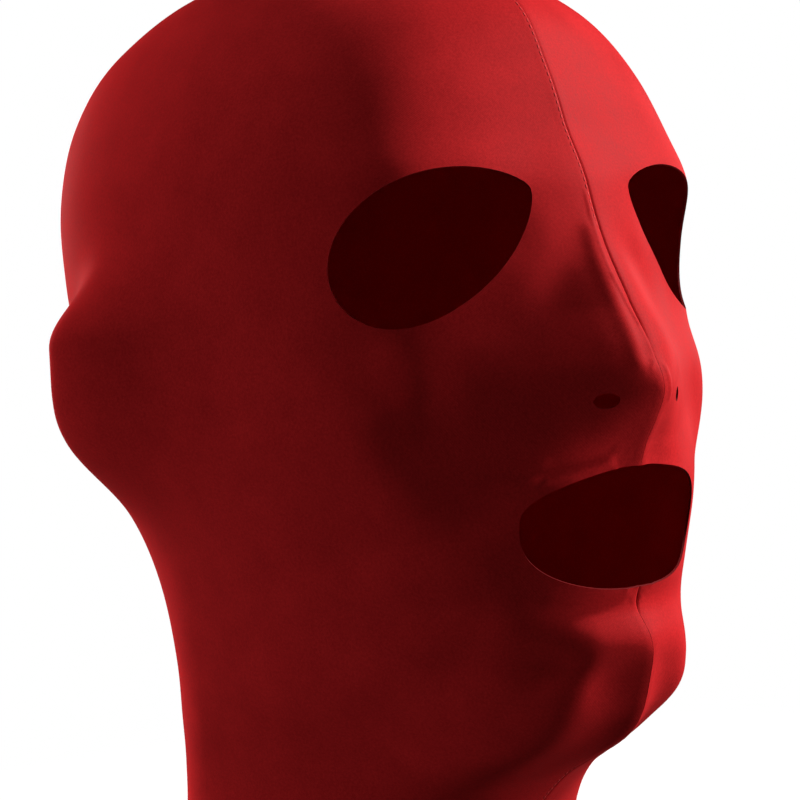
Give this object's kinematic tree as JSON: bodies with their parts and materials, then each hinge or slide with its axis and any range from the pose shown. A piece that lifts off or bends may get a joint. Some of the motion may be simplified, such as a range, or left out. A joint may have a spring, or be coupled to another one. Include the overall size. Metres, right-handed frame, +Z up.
{
  "type": "latex hood",
  "caption": "Close-fitting hood of thin stretched sheet that covers head, ears and neck, with eye, nostril and mouth holes and a centre seam over the face and crown.",
  "frame": {"origin": "inner face of the crown on the centre seam, where the hood sits on the top of the head", "axes": "+Z up through the crown, -Y ahead out of the face, +X to the wearer's left"},
  "size_m": [0.1974, 0.2243, 0.282],
  "materials": {
    "red_sheet": "satin"
  },
  "bodies": {
    "root": {"left_panel": "red_sheet", "right_panel": "red_sheet"}
  },
  "joints": []
}
